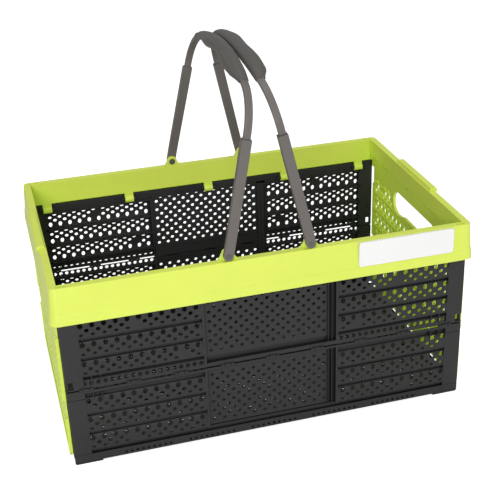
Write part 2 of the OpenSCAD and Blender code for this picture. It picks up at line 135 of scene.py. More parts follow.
def plastic(name, colour, roughness, grain=0.12, grain_size=1400, mottle=0.10, soft=0.0004,
            wear=0.25, sheen=0.0, specular=0.5, painted_shade=0.5, reach=0.005, glow=None):
    """Moulded plastic: slow colour drift, fine grain, rubbed edges, painted shade in hollows, patchy
    gloss.
    Where a glow colour is given, shaded sides get a painted glow, an emission that stands in for
    daylight let in by the thin plastic."""
    mat = bpy.data.materials.new(name)
    mat.use_nodes = True
    nodes, links = mat.node_tree.nodes, mat.node_tree.links
    shader = nodes["Principled BSDF"]
    shader.inputs["Base Color"].default_value = (*colour, 1)
    shader.inputs["IOR"].default_value = 1.49
    shader.inputs["Sheen Weight"].default_value = sheen
    shader.inputs["Specular IOR Level"].default_value = specular
    place = nodes.new("ShaderNodeTexCoord")

    drift = noise(nodes, links, place, 22, 4)
    fine = noise(nodes, links, place, grain_size, 2)
    tone = blend(nodes, links, drift.outputs["Fac"], [c * (1 - mottle) for c in colour],
                 [min(c * (1 + mottle), 0.95) for c in colour])

    # edges that hands and other crates rub are a little paler
    round_edge = nodes.new("ShaderNodeBevel")
    round_edge.samples = 4
    round_edge.inputs["Radius"].default_value = soft
    shape = nodes.new("ShaderNodeNewGeometry")
    same = nodes.new("ShaderNodeVectorMath")
    same.operation = "DOT_PRODUCT"
    links.new(round_edge.outputs["Normal"], same.inputs[0])
    links.new(shape.outputs["Normal"], same.inputs[1])
    edge = remap(nodes, links, same.outputs["Value"], (0.98, 0.80), 0, wear)
    worn = blend(nodes, links, edge, tone, [min(c * 1.7 + 0.03, 0.95) for c in colour])

    # hollows within reach of other plastic are darkened with painted shade
    painted_shade_mask = remap(nodes, links, openness(nodes, reach), PAINTED_SHADE_OPENNESS, painted_shade, 0)
    shaded_colour = blend(nodes, links, painted_shade_mask, worn, [c * 0.12 for c in colour])
    links.new(shaded_colour, shader.inputs["Base Color"])
    if glow:
        # painted glow: shaded places emit the glow colour, in place of daylight let in by the thin
        # plastic
        shade = remap(nodes, links, openness(nodes, GLOW_REACH), GLOW_SHADE, 0, 1)
        painted_glow = blend(nodes, links, shade, (0, 0, 0), glow)
        links.new(painted_glow, shader.inputs["Emission Color"])
        shader.inputs["Emission Color"].default_value = (0, 0, 0, 1)
        shader.inputs["Emission Strength"].default_value = GLOW_LEVEL

    gloss = remap(nodes, links, drift.outputs["Fac"], (0.3, 0.7),
                  roughness - GLOSS_DRIFT, roughness + GLOSS_DRIFT)
    links.new(gloss, shader.inputs["Roughness"])

    bump = nodes.new("ShaderNodeBump")
    bump.inputs["Strength"].default_value = grain
    bump.inputs["Distance"].default_value = 0.0002
    links.new(fine.outputs["Fac"], bump.inputs["Height"])
    links.new(round_edge.outputs["Normal"], bump.inputs["Normal"])
    links.new(bump.outputs["Normal"], shader.inputs["Normal"])
    return mat


# the plastics below darken their hollows with painted shade
LIME = plastic("lime_plastic", (0.605, 0.700, 0.092), 0.42, grain=0.08, mottle=0.04, wear=0.3,
               painted_shade=0.3, glow=(0.22, 0.42, 0.0))
CHARCOAL = plastic("charcoal_plastic", (0.022, 0.022, 0.023), 0.50, grain=0.16, mottle=0.12,
                   wear=0.2, specular=0.3, painted_shade=0.95, reach=0.008)
HANDLE = plastic("handle_plastic", (0.118, 0.106, 0.098), 0.50, grain=0.2, mottle=0.10,
                 specular=0.4)
GRIP = plastic("soft_grip", (0.070, 0.064, 0.058), 0.62, grain=0.5, grain_size=900,
               mottle=0.12, soft=0.0008, sheen=0.05, specular=0.4)
PIN = plastic("pin_plastic", (0.088, 0.080, 0.075), 0.42, grain=0.05)
PAPER = plastic("blank_paper", (0.74, 0.74, 0.735), 0.55, grain=0.15, mottle=0.02, wear=0.0)
BODY_MATERIAL = {"rim_green": LIME, "wall_charcoal": CHARCOAL, "handle_grey": HANDLE,
                 "grip_grey": GRIP, "pin_grey": PIN, "label_white": PAPER}


# ---- mesh helpers --------------------------------------------------------------------

HOLE_SIDES = 16


def make_piece(name, bm, body, slot, nodes, sharp=38):
    """Turns a millimetre mesh into a piece that rides on a body and stands for CAD nodes."""
    bmesh.ops.recalc_face_normals(bm, faces=bm.faces)
    mesh = bpy.data.meshes.new(name)
    bm.to_mesh(mesh)
    bm.free()
    mesh.transform(Matrix.Scale(MM, 4))
    mesh.shade_smooth()
    mesh.set_sharp_from_angle(angle=math.radians(sharp))
    obj = bpy.data.objects.new(name, mesh)
    bpy.context.scene.collection.objects.link(obj)
    obj.data.materials.append(BODY_MATERIAL[slot])
    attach(obj, body)
    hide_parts(*nodes)
    return obj


def block(bm, low, high, bevel=0.5):
    """A box between two corners with rounded edges."""
    low, high = [Vector([f(a, b) for a, b in zip(low, high)]) for f in (min, max)]
    size = high - low
    made = bmesh.ops.create_cube(bm, size=1, matrix=Matrix.Translation((low + high) / 2)
                                 @ Matrix.Diagonal((*size, 1)))
    bevel = min(bevel, min(size) * 0.45)
    if bevel > 0:
        edges = list(dict.fromkeys(e for v in made["verts"] for e in v.link_edges))
        bmesh.ops.bevel(bm, geom=edges, offset=bevel, segments=2, profile=0.7,
                        affect="EDGES", clamp_overlap=True)


def slab(bm, side, x, y, z, bevel=0.5):
    """A block from its spans along X, Y and Z. The Y span is measured out towards that side."""
    block(bm, (x[0], side * y[0], z[0]), (x[1], side * y[1], z[1]), bevel)


def close_rings(bm, rings):
    """Faces between rings of vertices, and over both ends."""
    n = len(rings[0])
    for low, high in zip(rings, rings[1:]):
        for k in range(n):
            m = (k + 1) % n
            bm.faces.new((low[k], low[m], high[m], high[k]))
    bm.faces.new(rings[0][::-1])
    bm.faces.new(rings[-1])


def rod(bm, a, b, radius, sides=24, bevel=0.3):
    """A round bar between two points."""
    a, b = Vector(a), Vector(b)
    length = (b - a).length
    turn = Vector((0, 0, 1)).rotation_difference(b - a).to_matrix().to_4x4()
    ring = [(radius - bevel, 0), (radius, bevel), (radius, length - bevel),
            (radius - bevel, length)]
    verts = [[bm.verts.new(a + turn @ Vector((r * math.cos(t), r * math.sin(t), h)))
              for t in (2 * math.pi * k / sides for k in range(sides))] for r, h in ring]
    close_rings(bm, verts)


def thicken(bm, points, faces, outer, inner):
    """Closes a flat layout of faces into a solid sheet between two skins."""
    tops = [bm.verts.new(outer(*p)) for p in points]
    unders = [bm.verts.new(inner(*p)) for p in points]
    count = {}
    for f in faces:
        bm.faces.new([tops[k] for k in f])
        bm.faces.new([unders[k] for k in reversed(f)])
        for a, b in zip(f, f[1:] + f[:1]):
            key = (min(a, b), max(a, b))
            count[key] = None if key in count else (a, b)
    for pair in count.values():
        if pair:
            a, b = pair
            bm.faces.new((tops[b], tops[a], unders[a], unders[b]))


def oval(cu, cv, ru, rv, lean=0.0, sides=HOLE_SIDES):
    """Points round an oval, turned by lean."""
    out = []
    for k in range(sides):
        a = 2 * math.pi * k / sides
        x, y = ru * math.cos(a), rv * math.sin(a)
        out.append((cu + x * math.cos(lean) - y * math.sin(lean),
                    cv + x * math.sin(lean) + y * math.cos(lean)))
    return out


def cell_rows(u0, u1, columns, rows):
    """Rows of square cells with a staggered oval hole in each, as points and faces.
    A row is (v0, v1, hole), and a hole is (ru, rv, stagger, blanks) or None."""
    points, index, faces = [], {}, []
    half = (u1 - u0) / columns / 2

    def at(k, v):
        key = (k, round(v, 4))
        if key not in index:
            index[key] = len(points)
            points.append((u0 + k * half, v))
        return index[key]

    def solid(k, v0, v1):
        mid = (v0 + v1) / 2
        faces.append([at(k, v0), at(k + 1, v0), at(k + 1, mid), at(k, mid)])
        faces.append([at(k, mid), at(k + 1, mid), at(k + 1, v1), at(k, v1)])

    for v0, v1, hole in rows:
        if not hole:
            for k in range(2 * columns):
                solid(k, v0, v1)
            continue
        ru, rv, stagger, blanks = hole
        mid = (v0 + v1) / 2
        if stagger:
            solid(0, v0, v1)
            solid(2 * columns - 1, v0, v1)
        for c in range(columns - stagger):
            k = 2 * c + stagger
            if c in blanks:
                solid(k, v0, v1)
                solid(k + 1, v0, v1)
                continue
            # each stretch of the cell's border meets two steps of the hole's edge
            border = [at(k + 2, mid), at(k + 2, v1), at(k + 1, v1), at(k, v1),
                      at(k, mid), at(k, v0), at(k + 1, v0), at(k + 2, v0)]
            first = len(points)
            points.extend(oval(u0 + (k + 1) * half, mid, ru, rv))
            for n in range(len(border)):
                faces.append([border[n], border[(n + 1) % len(border)]]
                             + [first + (2 * n + m) % HOLE_SIDES for m in (2, 1, 0)])
    return points, faces


def cut_plate(outline, holes, creases=()):
    """A plate with any outline and holes, as points and triangles. It can bend along creases."""
    points, edges = [], []
    for loop in [outline] + holes:
        base = len(points)
        points += [Vector(p) for p in loop]
        edges += [(base + k, base + (k + 1) % len(loop)) for k in range(len(loop))]
    for a, b in creases:
        edges.append((len(points), len(points) + 1))
        points += [Vector(a), Vector(b)]
    found, _, tris, *_ = delaunay_2d_cdt(points, edges, [], 1, 1e-5)
    boxes = [(min(p[0] for p in h), max(p[0] for p in h), min(p[1] for p in h),
              max(p[1] for p in h), h) for h in holes]

    def inside(p, loop):
        hit = False
        for (x0, y0), (x1, y1) in zip(loop, loop[1:] + loop[:1]):
            if (y0 > p.y) != (y1 > p.y) and p.x < (x1 - x0) * (p.y - y0) / (y1 - y0) + x0:
                hit = not hit
        return hit

    faces = []
    for t in tris:
        c = (found[t[0]] + found[t[1]] + found[t[2]]) / 3
        if not inside(c, outline):
            continue
        if any(b[0] < c.x < b[1] and b[2] < c.y < b[3] and inside(c, b[4]) for b in boxes):
            continue
        faces.append(list(t))
    return [tuple(p) for p in found], faces


def rectangle(x0, y0, x1, y1):
    """Corners of a rectangle, in order."""
    return [(x0, y0), (x1, y0), (x1, y1), (x0, y1)]


def between_clips(places, end):
    """Spans from -end to end, open where a clip reaches in at each place."""
    stops = [-end] + [v for x in places for v in (x - CLIP_HALF, x + CLIP_HALF)] + [end]
    return list(zip(stops[::2], stops[1::2]))


def ease(x):
    """Smooth step from 0 to 1."""
    x = min(max(x, 0), 1)
    return x * x * (3 - 2 * x)


# ---- long walls -------------------------------------------------------------------------

POST_W = 19.5
POST_IN = WALL_END - POST_W
RIB_W = 3
STOPS = (24, 42, 60)            # heights of the stepped stops on the lower posts
STOP_H = 4
HINGE_SLIT = 1.6                # gap between a lower and an upper panel
STRIP_T = 2.5                   # thickness of the edge strips that carry the pivot bars
PIVOT_BAR_R = 2.2

# middle field, with a channel between it and its right rib. A foot is where a plate starts.
FIELD_HALF = 77
UPPER_FIELD_FOOT, UPPER_FIRST_ROW, UPPER_FIELD_ROWS = 109.6, 117.6, 12
LOWER_FIELD_FOOT, LOWER_FIRST_ROW, LOWER_FIELD_ROWS = 18.6, 25, 11
FIELD_PITCH = 12.0
FIELD_ROW = 6.0
FIELD_COLUMNS = 12
FIELD_FIRST_X = -70
FIELD_HOLE_R = 2.15
FIELD_SKINS = (WALL_IN + 1.0, WALL_IN + 2.6)
CHANNEL_X = 66
CHANNEL_FINS = (CHANNEL_X + 0.2, CHANNEL_X + 4.6)
FIN_T = 0.8
BAR_TOP = 103                   # top of the bar between the middle hinge and the upper field

# thirds beside the middle field
THIRD = (FIELD_HALF + 1, POST_IN + 3)
LOUVRES = 3
LOUVRE_COLUMNS = 11
HINGE_COLUMNS = 18
LOUVRE_T = 1.3
LOUVRE_IN, LOUVRE_OUT = WALL_IN + LOUVRE_T, WALL_OUT - 0.15
UPPER_PITCH, UPPER_GROOVE = 23.6, 112.4
LOWER_PITCH, LOWER_GROOVE = 24.5, 15.8

# a louvre is like a roof tile: a lip at its foot, a round belly, a deep groove at its top
BULGE = [(0, 0), (0.02, 0.80), (0.06, 0.95), (0.13, 1), (0.36, 1), (0.59, 0.93), (0.80, 0.76),
         (0.84, 0.60), (0.87, 0.08), (0.89, 0), (1, 0)]

# rows of a louvre from its lower groove (0) to its upper groove (1), and the holes by row, each
# (ru, rv, stagger, whether one hole may be left out)
FRONT_ROWS = (0, 0.02, 0.06, 0.12, 0.32, 0.54, 0.83, 0.87, 0.89, 1)
FRONT_HOLES = {3: (2.3, 1.8, 0, True), 4: (2.5, 2.35, 1, True), 5: (2.8, 3.25, 0, False)}
BACK_ROWS = (0, 0.02, 0.05, 0.065, 0.355, 0.545, 0.725, 0.86, 0.89, 1)
BACK_HOLES = {3: (2.3, 3.2, 0, False), 4: (2.3, 2.15, 1, True), 5: (2.2, 2.0, 0, True),
              6: (2.4, 1.5, 1, False)}

# the one row of holes in the strip next to the middle hinge, by side and whether it is the upper
# panel: its height and its (ru, rv), or None where the strip is plain
HINGE_ROW = {(-1, True): (104.6, (2.5, 2.7)), (1, True): (102.7, (2.1, 1.1)),
             (-1, False): (92.2, None), (1, False): (92.2, (2.3, 2.3))}

# knuckle bars by whether it is the upper panel, as (from, to, radius) along the hinge
KNUCKLE_BARS = {True: ((-4.1, -7.6, 1.9), (4.1, 7.6, 1.9)),
                False: ((-3.6, 3.6, 1.9), (-7.4, 7.4, 1.2))}


def bulge(t):
    """How far a louvre stands out between its lower groove (0) and its upper groove (1)."""
    t = min(max(t, 0), 1)
    for (t0, b0), (t1, b1) in zip(BULGE, BULGE[1:]):
        if t <= t1:
            return b0 + (b1 - b0) * (t - t0) / (t1 - t0)
    return 0


def louvre_skin(t):
    """Distance of a louvre's outer skin from the middle of the crate."""
    return LOUVRE_IN + (LOUVRE_OUT - LOUVRE_IN) * bulge(t)


def louvre_bands(side, groove, pitch, blanks):
    """Rows of one louvre, from the groove below it to the groove above it."""
    rows, holes = (FRONT_ROWS, FRONT_HOLES) if side < 0 else (BACK_ROWS, BACK_HOLES)
    edges = [groove + pitch * t for t in rows]
    bands = []
    for k, (low, high) in enumerate(zip(edges, edges[1:])):
        hole = None
        if k in holes:
            ru, rv, stagger, may_skip = holes[k]
            hole = (ru, rv, stagger, blanks if may_skip else ())
        bands.append((low, high, hole))
    return bands


def hinge_bands(z0, z1, row_z, hole):
    """Rows of the strip next to the middle hinge, with at most one dense row of holes."""
    half = (THIRD[1] - THIRD[0]) / HINGE_COLUMNS / 2
    low, high = row_z - half, row_z + half
    low = z0 if low < z0 + 1 else low
    high = z1 if high > z1 - 1 else high
    bands = [(z0, z0 + 0.5, None), (z0 + 0.5, low, None)] if low > z0 else []
    bands.append((low, high, (*hole, 0, ()) if hole else None))
    if high < z1:
        mid = (high + z1) / 2
        bands += [(high, mid, None), (mid, z1, None)]
    return bands


def wavy_sheet(bm, side, end, columns, bands, profile):
    """A sheet across one third of a panel. The profile is its outer skin by height."""
    points, faces = cell_rows(*THIRD, columns, bands)
    thicken(bm, points, faces, lambda u, v: Vector((end * u, side * profile(v), v)),
            lambda u, v: Vector((end * u, side * (profile(v) - LOUVRE_T), v)))


def wall_post(bm, side, end, upper, z0, z1):
    """Post at one end of a panel, and the rib beside the middle field."""
    depth = (WALL_IN, WALL_OUT)
    if upper:
        # notch for the latch
        low, high, inset = z0 + 1.5, z0 + 11, WALL_END - 8
        slab(bm, side, (end * POST_IN, end * inset), depth, (z0, z1))
        slab(bm, side, (end * (inset - 0.5), end * WALL_END), depth, (high, z1))
        slab(bm, side, (end * (inset - 0.5), end * WALL_END), depth, (z0, low))
        # latch piece that fills the outer part of the notch, set back from the face
        slab(bm, side, (end * (WALL_END - 2.6), end * (WALL_END - 0.2)),
             (WALL_IN + 0.1, WALL_OUT - 1.6), (low - 0.3, high + 0.3), bevel=0)
    else:
        # split line below the hinge
        split = MID_PIVOT - 12
        slab(bm, side, (end * POST_IN, end * WALL_END), depth, (z0, split))
        slab(bm, side, (end * POST_IN, end * WALL_END), depth, (split + 0.5, z1))
        slab(bm, side, (end * (POST_IN + 1), end * (WALL_END - 1)),
             (WALL_IN + 0.3, WALL_OUT - 0.8), (split - 2, split + 2), bevel=0)
        # small stepped stops on the outer edge
        for z in STOPS:
            slab(bm, side, (end * (WALL_END - 1.5), end * (WALL_END + 0.5)),
                 (WALL_IN + 1, WALL_OUT - 1), (z, z + STOP_H), bevel=0)
    slab(bm, side, (end * (FIELD_HALF - RIB_W / 2), end * (FIELD_HALF + RIB_W / 2)), depth,
         (z0 if upper else z0 + 4, z1), bevel=0.6)


def wall_third(bm, side, end, upper, z0, z1):
    """Louvres between the middle field and a post, and the strip next to the middle hinge."""
    pitch, foot = (UPPER_PITCH, UPPER_GROOVE) if upper else (LOWER_PITCH, LOWER_GROOVE)
    grooves = [foot + k * pitch for k in range(LOUVRES)]
    for n, groove in enumerate(grooves):
        # the lowest and highest louvres leave a hole out of some rows, the middle one is full
        skipped = (2 * n + (1 if upper else 6)) % LOUVRE_COLUMNS
        blanks = () if n == 1 else (skipped,)
        wavy_sheet(bm, side, end, LOUVRE_COLUMNS, louvre_bands(side, groove, pitch, blanks),
                   lambda v, g=groove: louvre_skin((v - g) / pitch))
    row_z, hole = HINGE_ROW[side, upper]
    if upper:
        top = grooves[0]
        wavy_sheet(bm, side, end, HINGE_COLUMNS, hinge_bands(z0, top, row_z, hole),
                   lambda v: louvre_skin(0.30 + 0.70 * (v - z0) / (top - z0)))
    else:
        low = grooves[-1] + pitch
        wavy_sheet(bm, side, end, HINGE_COLUMNS, hinge_bands(low, z1 - 0.8, row_z, hole),
                   lambda v: louvre_skin(0.36 * (v - low) / (z1 - low)))
    # thin stiffening ribs in the pocket beside the hinge
    span = (z0 + 4, z0 + 17) if upper else (z1 - 16, z1 - 4)
    for u in (POST_IN - 9, POST_IN - 19):
        slab(bm, side, (end * (u - 0.5), end * (u + 0.5)), (WALL_IN, WALL_OUT - 0.2), span,
             bevel=0.2)


def field_plate(bm, side, z0, z1, first_row, rows):
    """Recessed plate with staggered round holes."""
    holes = []
    for r in range(rows):
        odd = r % 2
        for c in range(FIELD_COLUMNS - odd):
            holes.append(oval(FIELD_FIRST_X + FIELD_PITCH * (c + odd / 2),
                              first_row + r * FIELD_ROW, FIELD_HOLE_R, FIELD_HOLE_R))
    left, right = -FIELD_HALF + RIB_W / 2 - 0.5, CHANNEL_X + 0.5
    points, faces = cut_plate(rectangle(left, z0, right, z1), holes)
    low, high = FIELD_SKINS
    thicken(bm, points, faces, lambda u, v: Vector((u, side * high, v)),
            lambda u, v: Vector((u, side * low, v)))


def middle_field(bm, side, upper, z0, z1):
    """Holed plate, the bar next to the hinge, a strip along the plate's foot and the channel."""
    if upper:
        foot, plate = BAR_TOP - 1, (UPPER_FIELD_FOOT, z1)
        first_row, rows = UPPER_FIRST_ROW, UPPER_FIELD_ROWS
        bar, channel_top, fin_foot = (z0, BAR_TOP), z1, BAR_TOP
    else:
        foot, plate = RAIL_TOP + 4.5, (LOWER_FIELD_FOOT, z1 - 2.2)
        first_row, rows = LOWER_FIRST_ROW, LOWER_FIELD_ROWS
        bar, channel_top, fin_foot = (z1 - 3, z1), z1 - 1, RAIL_TOP + 5
    field_plate(bm, side, *plate, first_row, rows)
    slab(bm, side, (-FIELD_HALF, FIELD_HALF), (WALL_IN, WALL_OUT), bar, bevel=1.2)
    slab(bm, side, (-FIELD_HALF, CHANNEL_X + 0.2), (WALL_IN, WALL_IN + 0.9),
         (foot, plate[0] + 0.9), bevel=0)
    slab(bm, side, (CHANNEL_X, FIELD_HALF), (WALL_IN, WALL_IN + 0.8), (foot, channel_top), bevel=0)
    if upper:
        slab(bm, side, (-POST_IN, POST_IN), (WALL_IN, WALL_OUT - 1.6), (z1 - 3, z1))
    # fins make the channel deep and dark
    for x in CHANNEL_FINS:
        slab(bm, side, (x, x + FIN_T), (WALL_IN, WALL_OUT - 1), (fin_foot, z1 - 1), bevel=0.2)


def pivot_strip(bm, side, upper, z1):
    """Thin edge strip with its pivot bars, open where the clips reach in."""
    pivot = RIM_PIVOT if upper else BASE_PIVOT
    low, high = (z1 - 1, RIM_PIVOT + 7) if upper else (BASE_PIVOT, RAIL_TOP + 5)
    depth = (WALL_IN, WALL_IN + STRIP_T)
    for span in between_clips(STATIONS, WALL_END):
        slab(bm, side, span, depth, (low, high), bevel=0.4)
    for x in STATIONS:
        rod(bm, (x - CLIP_HALF - 3.5, side * WALL_IN, pivot),
            (x + CLIP_HALF + 3.5, side * WALL_IN, pivot), PIVOT_BAR_R)
        if not upper:
            slab(bm, side, (x - CLIP_HALF, x + CLIP_HALF), depth, (BASE_PIVOT + 4.9, high),
                 bevel=0.3)


def wall_panel(name, side, upper):
    """One half of a long wall. side is -1 for the front and 1 for the back."""
    bm = bmesh.new()
    z0 = MID_PIVOT + HINGE_SLIT / 2 if upper else RAIL_TOP + 0.3
    z1 = RIM_PIVOT - 1 if upper else MID_PIVOT - HINGE_SLIT / 2
    for end in (-1, 1):
        wall_post(bm, side, end, upper, z0, z1)
    for end in (-1, 1):
        wall_third(bm, side, end, upper, z0, z1)
    middle_field(bm, side, upper, z0, z1)
    pivot_strip(bm, side, upper, z1)
    for x in KNUCKLES:
        for a, b, radius in KNUCKLE_BARS[upper]:
            rod(bm, (x + a, side * WALL_OUT, MID_PIVOT), (x + b, side * WALL_OUT, MID_PIVOT),
                radius)
    half = "upper" if upper else "lower"
    face = "front" if side < 0 else "back"
    make_piece(name, bm, f"{face}_{half}", "wall_charcoal", [f"{face}_{half}_wall"])


for wall_side, wall_name in ((-1, "front"), (1, "back")):
    wall_panel(f"{wall_name}_lower_panel", wall_side, False)
    wall_panel(f"{wall_name}_upper_panel", wall_side, True)


# ---- end flaps -----------------------------------------------------------------------------

FLAP_IN = FLAP_X - 1.5
FLAP_T = 1.4
FLAP_OUT = FLAP_IN + FLAP_T
FLAP_RIB = FLAP_HIGH[0]          # outer face of the frame ribs
FLAP_HALF = FLAP_HIGH[1]
FLAP_FOOT = FLAP_LOW[2]
FLAP_TOP = FLAP_Z - 5
FLAP_BAR_R = 1.6
FLAP_BARS = [k * FLAP_HALF * 0.25 for k in (-3, -1, 1, 3)]
FRAME_W = 3
NOTCH_D = 4                      # depth of the notches in the side edges
NOTCH_UNDER, NOTCH_OVER = 12.5, 11.5
FOOT_NOTCH = (FLAP_FOOT - 1, FLAP_FOOT + 4.5)

LOUVRE_RISE = 1.5
FLAP_BAND = 24.9
FLAP_BANDS = [FLAP_FOOT + 17 + k * FLAP_BAND for k in range(6)]
FLAP_CREASES = (0, 0.04, 0.1, 0.2, 0.32, 0.46, 0.6, 0.74, 0.86, 0.94, 0.985)
FLAP_PITCH = 12.6
# rows of holes in each louvre, as (height in the louvre, ru, rv, stagger, lean)
FLAP_ROWS = ((0.84, 2.7, 2.5, 0, 0), (0.50, 2.5, 4.0, 0, 0.5), (0.20, 2.2, 1.9, 1, 0))

# hand hole: its top, the middle of its floor, the floor's lower ends, and half its length
HAND_TOP, HAND_FLOOR, HAND_DEEP, HAND_HALF = 182, 155, 151, 65
HAND_EDGE = 2.6                  # width of the rolled rim


def hand_outline(grow=0.0):
    """Outline of the hand hole: a low arch over a floor that drops at both ends."""
    top, low, deep, half = HAND_TOP + grow, HAND_FLOOR - grow, HAND_DEEP - grow, HAND_HALF + grow
    r = (top - deep) / 2
    points = []
    for end in (1, -1):
        for k in range(13):
            a = math.radians(-90 + 15 * k) if end > 0 else math.radians(90 + 15 * k)
            points.append((end * (half - r) + r * math.cos(a), deep + r + r * math.sin(a)))
    points += [(-half + r + 9, deep + 0.6), (-half + r + 18, low - 0.6), (-half + r + 24, low),
               (half - r - 24, low), (half - r - 18, low - 0.6), (half - r - 9, deep + 0.6)]
    return points


def flap_wave(y, z):
    """How far the flap's louvres stand out at a place on the plate."""
    for low in FLAP_BANDS:
        if low <= z < low + FLAP_BAND:
            side_fade = ease((FLAP_HALF - 7 - abs(y)) / 5)
            hole_fade = ease((abs(y) - HAND_HALF - 4) / 5) if z > HAND_DEEP - 6 else 1
            return LOUVRE_RISE * bulge((z - low) / FLAP_BAND) * side_fade * hole_fade
    return 0


def flap_holes():
    """Three staggered rows in each louvre, with slanted ovals in the middle row.
    The hand hole, the top edge and a few places stay clear of them."""
    holes = []
    for n, low in enumerate(FLAP_BANDS):
        for share, ru, rv, stagger, lean in FLAP_ROWS:
            z = low + share * FLAP_BAND
            for k in range(-10, 10):
                y = FLAP_PITCH / 2 + FLAP_PITCH * (k + stagger / 2)
                on_plate = abs(y) < FLAP_HALF - 9 and z <= FLAP_BANDS[-1] + 0.9 * FLAP_BAND
                at_hand = z > HAND_DEEP - 7 and abs(y) < HAND_HALF + 7
                left_out = (k + 2 * n) % 13 == 5
                if on_plate and not at_hand and not left_out:
                    holes.append(oval(y, z, ru, rv, lean if y > 0 else -lean, sides=14))
    return holes


def flap_notches():
    """Height spans of the notches that clear the clips of the folding walls, from the foot up."""
    notches = [FOOT_NOTCH]
    for x in (STATIONS[4], STATIONS[3]):
        reach = math.hypot(FLAP_X - x, FLAP_Z - RIM_PIVOT)
        notches.append((FLAP_Z - reach - NOTCH_UNDER, FLAP_Z - reach + NOTCH_OVER))
    return sorted(notches)


def end_flap(name, end):
    """One end flap. end is -1 for the left and 1 for the right."""
    bm = bmesh.new()
    notches = flap_notches()
    edge = []
    for z0, z1 in notches:
        edge += [(FLAP_HALF, z0), (FLAP_HALF - NOTCH_D, z0), (FLAP_HALF - NOTCH_D, z1),
                 (FLAP_HALF, z1)]
    edge = [(FLAP_HALF - NOTCH_D, FLAP_FOOT)] + edge[2:] + [(FLAP_HALF, FLAP_TOP)]
    outline = edge + [(-y, z) for y, z in reversed(edge)]
    creases = []
    for low in FLAP_BANDS:
        for share in FLAP_CREASES:
            z = low + share * FLAP_BAND
            creases.append(((-FLAP_HALF + 0.5, z), (FLAP_HALF - 0.5, z)))
    points, faces = cut_plate(outline, [hand_outline()] + flap_holes(), creases)
    thicken(bm, points, faces,
            lambda y, z: Vector((end * (FLAP_OUT + flap_wave(y, z)), y, z)),
            lambda y, z: Vector((end * (FLAP_IN + flap_wave(y, z)), y, z)))

    # rolled rim of the hand hole
    points, faces = cut_plate(hand_outline(HAND_EDGE), [hand_outline(0.02)])
    thicken(bm, points, faces, lambda y, z: Vector((end * FLAP_RIB, y, z)),
            lambda y, z: Vector((end * (FLAP_OUT - 0.2), y, z)))
    # frame ribs
    rib_in, rib_out = end * (FLAP_OUT - 0.2), end * FLAP_RIB
    starts = [high for _, high in notches]
    ends = [low for low, _ in notches[1:]] + [FLAP_TOP]
    for s in (-1, 1):
        for a, b in zip(starts, ends):
            block(bm, (rib_in, s * (FLAP_HALF - FRAME_W), a), (rib_out, s * FLAP_HALF, b), 0.4)
        block(bm, (rib_in, s * (FLAP_HALF - NOTCH_D - 2), FLAP_FOOT),
              (rib_out, s * (FLAP_HALF - NOTCH_D), FLAP_FOOT + 6), 0.4)
    for z in (FLAP_FOOT, FLAP_Z - 8):
        block(bm, (rib_in, -FLAP_HALF + NOTCH_D, z),
              (rib_out, FLAP_HALF - NOTCH_D, z + FRAME_W), 0.4)
    # tabs up to the pivot bar, open where the clips of the rim hold it
    for a, b in between_clips(FLAP_BARS, FLAP_HALF):
        block(bm, (end * FLAP_IN, a, FLAP_TOP - 0.3), (end * FLAP_OUT, b, FLAP_Z), 0.4)
    rod(bm, (end * FLAP_X, -FLAP_HALF, FLAP_Z), (end * FLAP_X, FLAP_HALF, FLAP_Z), FLAP_BAR_R,
        sides=16)
    side = "left" if end < 0 else "right"
    make_piece(name, bm, f"{side}_flap", "rim_green", [f"{side}_end_flap"], sharp=30)


end_flap("left_flap_plate", -1)
end_flap("right_flap_plate", 1)


# ---- base ------------------------------------------------------------------------------------

FLOOR_TOP = BASE_PIVOT - 0.3
FLOOR_HALF = WALL_IN - 5.5
FLOOR_T = 2.4
FOOT = 2                        # height of the feet
BAY_X, BAY_Y = 50, 52           # spacing of the bays between the floor ribs
FLOOR_PITCH, FLOOR_ROW, FLOOR_HOLE_R = 8.6, 8, 2.2
DRAIN_GROUP, DRAIN_PITCH = 74, 6.4
CLIP_R = 4.2


def floor_plate(bm):
    """Floor with a group of drain holes in each bay, and the ribs between the bays."""
    holes = []
    for bay_x in range(-4, 5):
        for bay_y in range(-2, 3):
            for r in range(-2, 3):
                for c in range(-2 + r % 2, 3):
                    holes.append(oval(bay_x * BAY_X + (c - 0.5 * (r % 2)) * FLOOR_PITCH,
                                      bay_y * BAY_Y + r * FLOOR_ROW,
                                      FLOOR_HOLE_R, FLOOR_HOLE_R, sides=12))
    points, faces = cut_plate(rectangle(-WALL_END, -FLOOR_HALF, WALL_END, FLOOR_HALF), holes)
    thicken(bm, points, faces, lambda x, y: Vector((x, y, FLOOR_TOP)),
            lambda x, y: Vector((x, y, FLOOR_TOP - FLOOR_T)))
    low, high = FOOT + 0.2, FLOOR_TOP - 0.5
    for k in range(-4, 4):
        x = (k + 0.5) * BAY_X
        block(bm, (x - 1, -FLOOR_HALF + 1, low), (x + 1, FLOOR_HALF - 1, high), 0.3)
    for k in range(-3, 3):
        y = (k + 0.5) * BAY_Y
        block(bm, (-WALL_END + 1, y - 1, low), (WALL_END - 1, y + 1, high), 0.3)


